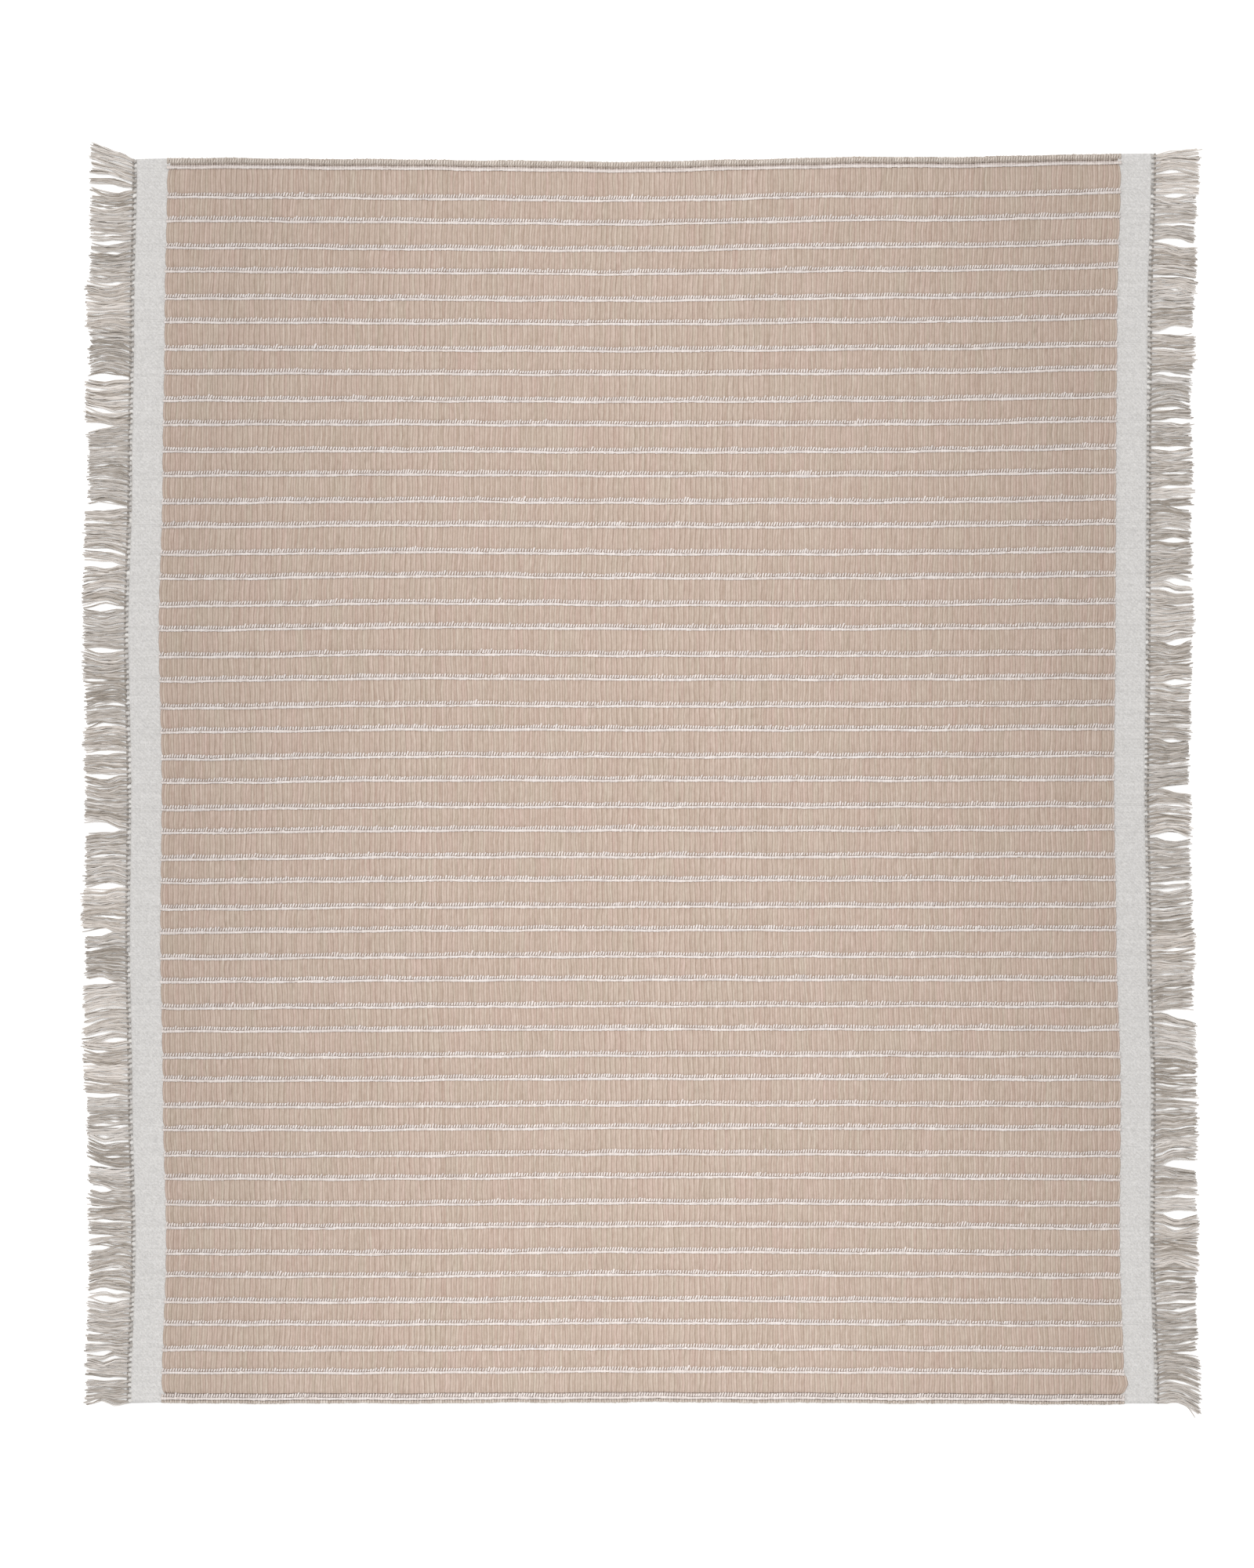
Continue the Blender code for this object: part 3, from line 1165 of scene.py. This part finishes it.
@dataclass(frozen=True)
class Bunch:
    """How the strands of neighbouring knots bunch together.

    Attributes:
        knots: Fewest knots in a bunch, and one more than the most.
        squeeze: Least and most share by which a bunch closes up.
        lean: Usual sideways lean at the tips.
        bow: Usual bow half way along.
        opens: Where along the length a bunch starts to close up, earliest and latest.
    """

    knots: tuple[int, int]
    squeeze: tuple[float, float]
    lean: float
    bow: float
    opens: tuple[float, float]


@dataclass
class Layer:
    """One layer of a fringe's strands.

    Attributes:
        y: Place of each strand at its knot.
        spot: Place of each strand in its knot, from -0.5 to 0.5.
        moves: Sideways move of each strand along its length.
        height: Height that each strand lies at.
        tone: Usual tone of each strand.
        draw: A draw shared by a clump, which sets its length and tint.
        light: How much light reaches the layer.
    """

    y: np.ndarray
    spot: np.ndarray
    moves: np.ndarray
    height: np.ndarray
    tone: np.ndarray
    draw: np.ndarray
    light: float


@dataclass
class Fringe:
    """The loose warp ends: strands in locks, locks in clumps with pointed gaps between."""

    lay: Lay
    knots: KnotRow
    flares: dict[Selvedge, Flare]
    clumps: Bunch = Bunch((7, 12), (0.04, 0.21), 0.9 * MM, 0.8 * MM, (0.0, 0.40))
    locks: Bunch = Bunch((2, 4), (0.05, 0.40), 0.55 * MM, 0.45 * MM, (0.0, 0.5))
    upper: int = 5
    under: int = 270
    upper_height: float = 0.95 * MM
    under_height: float = 0.45 * MM
    lock_rise: float = 0.25 * MM
    under_light: float = 0.75
    points: int = 9
    radius: float = 0.34 * MM
    root_lap: float = 2.3 * MM
    root_height: float = 1.6 * MM
    root_lean: float = 0.5 * MM
    knot_spread: float = 2.2 * MM
    stray_thread: tuple[tuple[float, float], ...] = ((10.7, 6.6), (12.9, 4.3), (15.0, 1.6), (17.0, -1.7))
    stray_height: float = 0.4 * MM
    stray_radius: float = 0.2 * MM
    stray_dye: tuple[float, float, float, float] = (0.35, 0.5, 1.0, 1.0)
    seed: int = 83

    def parted(self, rng: np.random.Generator, bunch: Bunch) -> np.ndarray:
        """Part the knots into neighbouring groups.

        Args:
            rng: Where the sizes of the groups are drawn from.
            bunch: What each group is.

        Returns:
            The group of each knot.
        """
        groups: list[int] = []
        while len(groups) < self.knots.count:
            groups += [groups[-1] + 1 if groups else 0] * int(rng.integers(*bunch.knots))
        return np.array(groups[: self.knots.count])

    def gather(
        self, rng: np.random.Generator, y: np.ndarray, group: np.ndarray, bunch: Bunch
    ) -> tuple[np.ndarray, np.ndarray]:
        """Draw how groups of knots close up, lean and bow along the fringe's length.

        Args:
            rng: Where it is drawn from.
            y: Place of each knot.
            group: Group of each knot.
            bunch: How each group bunches.

        Returns:
            The sideways move at each knot and place along its strands, and each knot's own draw.
        """
        number = group.max() + 1
        middle = np.bincount(group, y) / np.bincount(group)
        t = np.linspace(0, 1, self.points)
        close = rng.uniform(*bunch.squeeze, number)[group]
        leans = bunch.lean * rng.standard_normal(number)[group]
        bows = bunch.bow * rng.standard_normal(number)[group]
        start = rng.uniform(*bunch.opens, number)[group]
        share = ramp(t[None], start[:, None], start[:, None] + 0.35)
        meet = rng.uniform(-0.3, 1.0, number).clip(0, 1)[group]
        share = share * (1 - meet[:, None] * ramp(t[None], 0.55, 1.0))
        move = (middle[group] - y)[:, None] * close[:, None] * share
        move = move + leans[:, None] * t[None] ** 1.6
        move = move + bows[:, None] * np.sin(math.pi * t)[None]
        return move, rng.standard_normal(number)[group]

    def corner_spread(self, y: np.ndarray) -> np.ndarray:
        """Spread the strands near the corners.

        Args:
            y: Place of each knot.

        Returns:
            The sideways move at each knot and place along its strands.
        """
        t = np.linspace(0, 1, self.points)
        low, high = y.min(), y.max()
        move = np.zeros((len(y), self.points))
        for edge, flare in self.flares.items():
            off = (high - y) if edge is Selvedge.TOP else (y - low)
            share = np.clip(1 - off / flare.reach, 0, 1) ** 1.3
            move += edge.value * flare.spread * share[:, None] * t[None] ** 1.25
        return move

    def build(self, material: bpy.types.Material) -> bpy.types.Object:
        """Lay the whole fringe of one side.

        Args:
            material: Its finish.

        Returns:
            The fringe.
        """
        rng = np.random.default_rng(self.seed + self.knots.side.value)
        y = self.knots.middles()
        clump = self.parted(rng, self.clumps)
        lock = self.parted(rng, self.locks)
        moves, clump_draw = self.gather(rng, y, clump, self.clumps)
        moves = moves + self.corner_spread(y)
        lock_moves, lock_draw = self.gather(rng, y, lock, self.locks)
        draft = Draft(self.lay)
        owner = np.repeat(np.arange(self.knots.count), self.upper)
        spot = (np.tile(np.arange(self.upper), self.knots.count) + 0.5) / self.upper - 0.5
        upper = Layer(
            y=y[owner] + spot * self.knot_spread,
            spot=spot,
            moves=(moves + lock_moves)[owner],
            height=self.upper_height + self.lock_rise * lock_draw[owner].clip(-1.5, 1.5),
            tone=0.38 + 0.09 * clump_draw[owner] + 0.10 * lock_draw[owner],
            draw=clump_draw[owner],
            light=1.0,
        )
        self.strew(draft, rng, upper)
        # The under layer is painted shade: its strands take less light and a darker tone, so the gaps
        # between the clumps show as shadow.
        owner = np.sort(rng.integers(0, self.knots.count, self.under))
        under = Layer(
            y=y[owner],
            spot=np.zeros(self.under),
            moves=moves[owner],
            height=np.full(self.under, self.under_height),
            tone=np.full(self.under, 0.30),
            draw=clump_draw[owner],
            light=self.under_light,
        )
        self.strew(draft, rng, under)
        if self.knots.side is Side.RIGHT:
            self.stray(draft)
        return draft.finish(f"{self.knots.side.word}_fringe_strands", material)

    def stray(self, draft: Draft) -> None:
        """Lay the one thin thread that has come away from the lowest lock.

        Args:
            draft: Where it goes.
        """
        low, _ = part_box(f"{self.knots.side.word}_fringe")
        past = np.array(self.stray_thread) * MM
        path = stack(low[0] + past[:, 0], low[1] + past[:, 1], self.stray_height)[None]
        dyes = np.broadcast_to(np.array(self.stray_dye), (1, len(past), 4))
        draft.strands(path, np.full((1, len(past)), self.stray_radius), 4, dyes)

    def strew(self, draft: Draft, rng: np.random.Generator, layer: Layer) -> None:
        """Lay one layer of strands.

        Args:
            draft: Where they go.
            rng: Where their own wander is drawn from.
            layer: The strands.
        """
        low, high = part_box(f"{self.knots.side.word}_fringe")
        sign, count = self.knots.side.value, len(layer.y)
        root, tip = (low[0], high[0]) if sign > 0 else (high[0], low[0])
        root -= sign * self.root_lap
        t = np.linspace(0, 1, self.points)[None]
        reach = tip - root - sign * (0.9 - 0.8 * layer.draw.clip(-1.5, 1.5)) * MM
        end = reach + sign * 0.65 * MM * rng.standard_normal(count)
        x = root + end[:, None] * t
        pinch = -layer.spot[:, None] * self.knot_spread * 0.68 * (1 - ramp(t, 0.0, 0.24))
        phase = rng.uniform(0, 2 * math.pi, (2, count, 1))
        size = MM * rng.uniform(0.05, 0.55, (count, 1))
        wave = size * np.sin(t * 4.5 + phase[0]) * ramp(t, 0.05, 0.4)
        wave = wave + 0.16 * MM * np.sin(t * 13 + phase[1])
        stray = rng.standard_normal((count, 1)) * 0.6 * MM * t**2
        across = layer.y[:, None] + layer.moves + pinch + wave + stray
        across = across - self.root_lean * (1 - ramp(t, 0.02, 0.2))
        drop = ramp(t, 0.0, 0.30)
        height = layer.height + 0.12 * MM * rng.standard_normal(count)
        z = (1 - drop) * self.root_height + drop * height[:, None]
        z = z + 0.10 * MM * np.sin(t * 7 + phase[1])
        thick = self.radius * (1 + 0.14 * rng.standard_normal((count, 1))) * (1 - 0.2 * t**6)
        z = np.maximum(z, thick * 1.02)
        tone = layer.tone + 0.20 * rng.standard_normal(count)
        tint = 0.5 + 0.18 * layer.draw + 0.15 * rng.standard_normal(count)
        # Painted shadow: strands at the flanks of a knot lose light near the root, which draws dark
        # commas between the bunches.
        flank = np.clip(np.abs(layer.spot[:, None]) * 2.6, 0, 1)
        lit = layer.light * (1 - (0.05 + 0.6 * flank) * (1 - ramp(t, 0.04, 0.17)))
        tone = tone[:, None] + 0.10 * rng.standard_normal(lit.shape)
        dyes = stack(tone, tint[:, None], lit, 1).clip(0, 1)
        draft.strands(stack(x, across, z), thick, 5, dyes)


# ---------------------------------------------------------------- the studio


@dataclass
class Studio:
    """A plain pale floor, soft light and a camera straight above the mat."""

    floor_size: float = 14.0
    floor_gap: float = 0.15 * MM
    floor_shade: float = 1.0
    sky: float = 0.74
    lamp_power: float = 50.0
    lamp_size: float = 2.4
    lamp_place: tuple[float, float, float] = (-0.5, 0.9, 3.15)
    floor_glow: float = 0.2
    lens: float = 100.0
    view_length: float = 0.7571
    view_middle: tuple[float, float] = (-0.0061, -0.0009)

    def floor(self) -> bpy.types.Object:
        """Lay the floor.

        Returns:
            The floor, just under the mat.
        """
        bpy.ops.object.select_all(action="DESELECT")
        bpy.ops.mesh.primitive_plane_add(size=self.floor_size, location=(0, 0, -self.floor_gap))
        floor = bpy.context.object
        floor.name = "floor"
        material = bpy.data.materials.new("pale_floor")
        nodes = Nodes(material)
        shade = (self.floor_shade,) * 3
        shader = nodes.add(
            "ShaderNodeBsdfPrincipled",
            {},
            {
                "Base Color": shade,
                "Roughness": 0.9,
                "Specular IOR Level": 0.1,
                "Emission Color": shade,
                "Emission Strength": self.floor_glow,
            },
        )
        nodes.add("ShaderNodeOutputMaterial", {}, {"Surface": shader.outputs[0]})
        floor.data.materials.append(material)
        return floor

    def lights(self) -> None:
        """Set the sky and one broad lamp beyond the top of the mat."""
        scene = bpy.context.scene
        scene.world = bpy.data.worlds.new("soft_sky")
        scene.world.use_nodes = True
        sky = scene.world.node_tree.nodes["Background"]
        sky.inputs["Color"].default_value = (1, 1, 1, 1)
        sky.inputs["Strength"].default_value = self.sky
        bpy.ops.object.light_add(type="AREA", location=self.lamp_place)
        lamp = bpy.context.object
        lamp.name = "broad_lamp"
        lamp.data.size = self.lamp_size
        lamp.data.energy = self.lamp_power
        lamp.rotation_euler = lamp.location.to_track_quat("Z", "Y").to_euler()
        scene.view_settings.view_transform = "Standard"

    def camera(self) -> None:
        """Hang the camera above the mat, looking straight down."""
        data = bpy.data.cameras.new("overhead")
        data.lens = self.lens
        data.clip_end = 50
        camera = bpy.data.objects.new("overhead", data)
        height = self.view_length * self.lens / data.sensor_width
        camera.location = (*self.view_middle, height)
        bpy.context.scene.collection.objects.link(camera)
        bpy.context.scene.camera = camera


# ---------------------------------------------------------------- putting it together


def declare(piece: bpy.types.Object, slot: str, *nodes: str) -> bpy.types.Object:
    """Tie a piece to the frame.

    Args:
        piece: The piece.
        slot: Name of the piece's finish; not used.
        nodes: CAD nodes that it stands for.

    Returns:
        The piece.
    """
    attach(piece, "root")
    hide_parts(*nodes)
    log.info("%s: %d faces, for %s", piece.name, len(piece.data.polygons), ", ".join(nodes))
    return piece


def main() -> None:
    """Build the mat and its studio."""
    logging.basicConfig(level=logging.INFO, format="%(message)s")
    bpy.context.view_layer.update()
    low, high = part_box("weft_field")
    lay = Lay(low[0], high[0], low[1], high[1])
    ribs = Ribs(low[0], high[0])
    numbers = range(1, sum(name.startswith("warp_stripe_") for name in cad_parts) + 1)
    boxes = [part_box(f"warp_stripe_{number:02d}") for number in numbers]
    middles = [(box[0][1] + box[1][1]) / 2 for box in boxes]
    weft, warp, plain = WEFT.material(), WARP.material(), PLAIN.material()
    greige, fringe_yarn, knotted = GREIGE.material(), FRINGE.material(), KNOTTED.material()

    woven = WovenField(lay, ribs, middles)
    stripes = WarpStripes(lay, ribs, high[2])
    studio = Studio()
    studio.floor()
    panels = math.ceil((len(middles) + 1) / woven.bands_in_panel)
    for number in range(1, panels + 1):
        panel = declare(woven.panel(number, weft), WEFT.slot, "weft_field")
        first = (number - 1) * woven.bands_in_panel
        crossed = [
            declare(
                stripes.stripe(f"cream_stripe_{k + 1:02d}", middles[k], warp),
                WARP.slot,
                f"warp_stripe_{k + 1:02d}",
            )
            for k in range(first, min(first + woven.bands_in_panel, len(middles)))
        ]

    for edge in Selvedge:
        woven_edge = WovenEdge(lay, ribs, edge)
        declare(woven_edge.selvedge(stripes, greige), GREIGE.slot, f"{edge.word}_selvedge")
        declare(woven_edge.line(stripes, warp), WARP.slot, f"{edge.word}_edge_stripe")

    flares = {
        Side.LEFT: {Selvedge.TOP: Flare(9.0 * MM, 17 * MM), Selvedge.BOTTOM: Flare(3.0 * MM, 12 * MM)},
        Side.RIGHT: {Selvedge.TOP: Flare(4.0 * MM, 12 * MM), Selvedge.BOTTOM: Flare(6.5 * MM, 14 * MM)},
    }
    for side in Side:
        strip = EndBand(lay, woven, side)
        band = declare(strip.build(plain), PLAIN.slot, f"{side.word}_end_band")
        low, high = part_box(f"{side.word}_end_band")
        knots = KnotRow(lay, side)
        row = declare(knots.build(knotted), KNOTTED.slot, f"{side.word}_knots")
        fringe = Fringe(lay, knots, flares[side])
        strands = declare(fringe.build(fringe_yarn), FRINGE.slot, f"{side.word}_fringe")
        high[0] - low[0] + strip.tuck

    studio.lights()
    studio.camera()


if __name__ == "__main__":
    main()
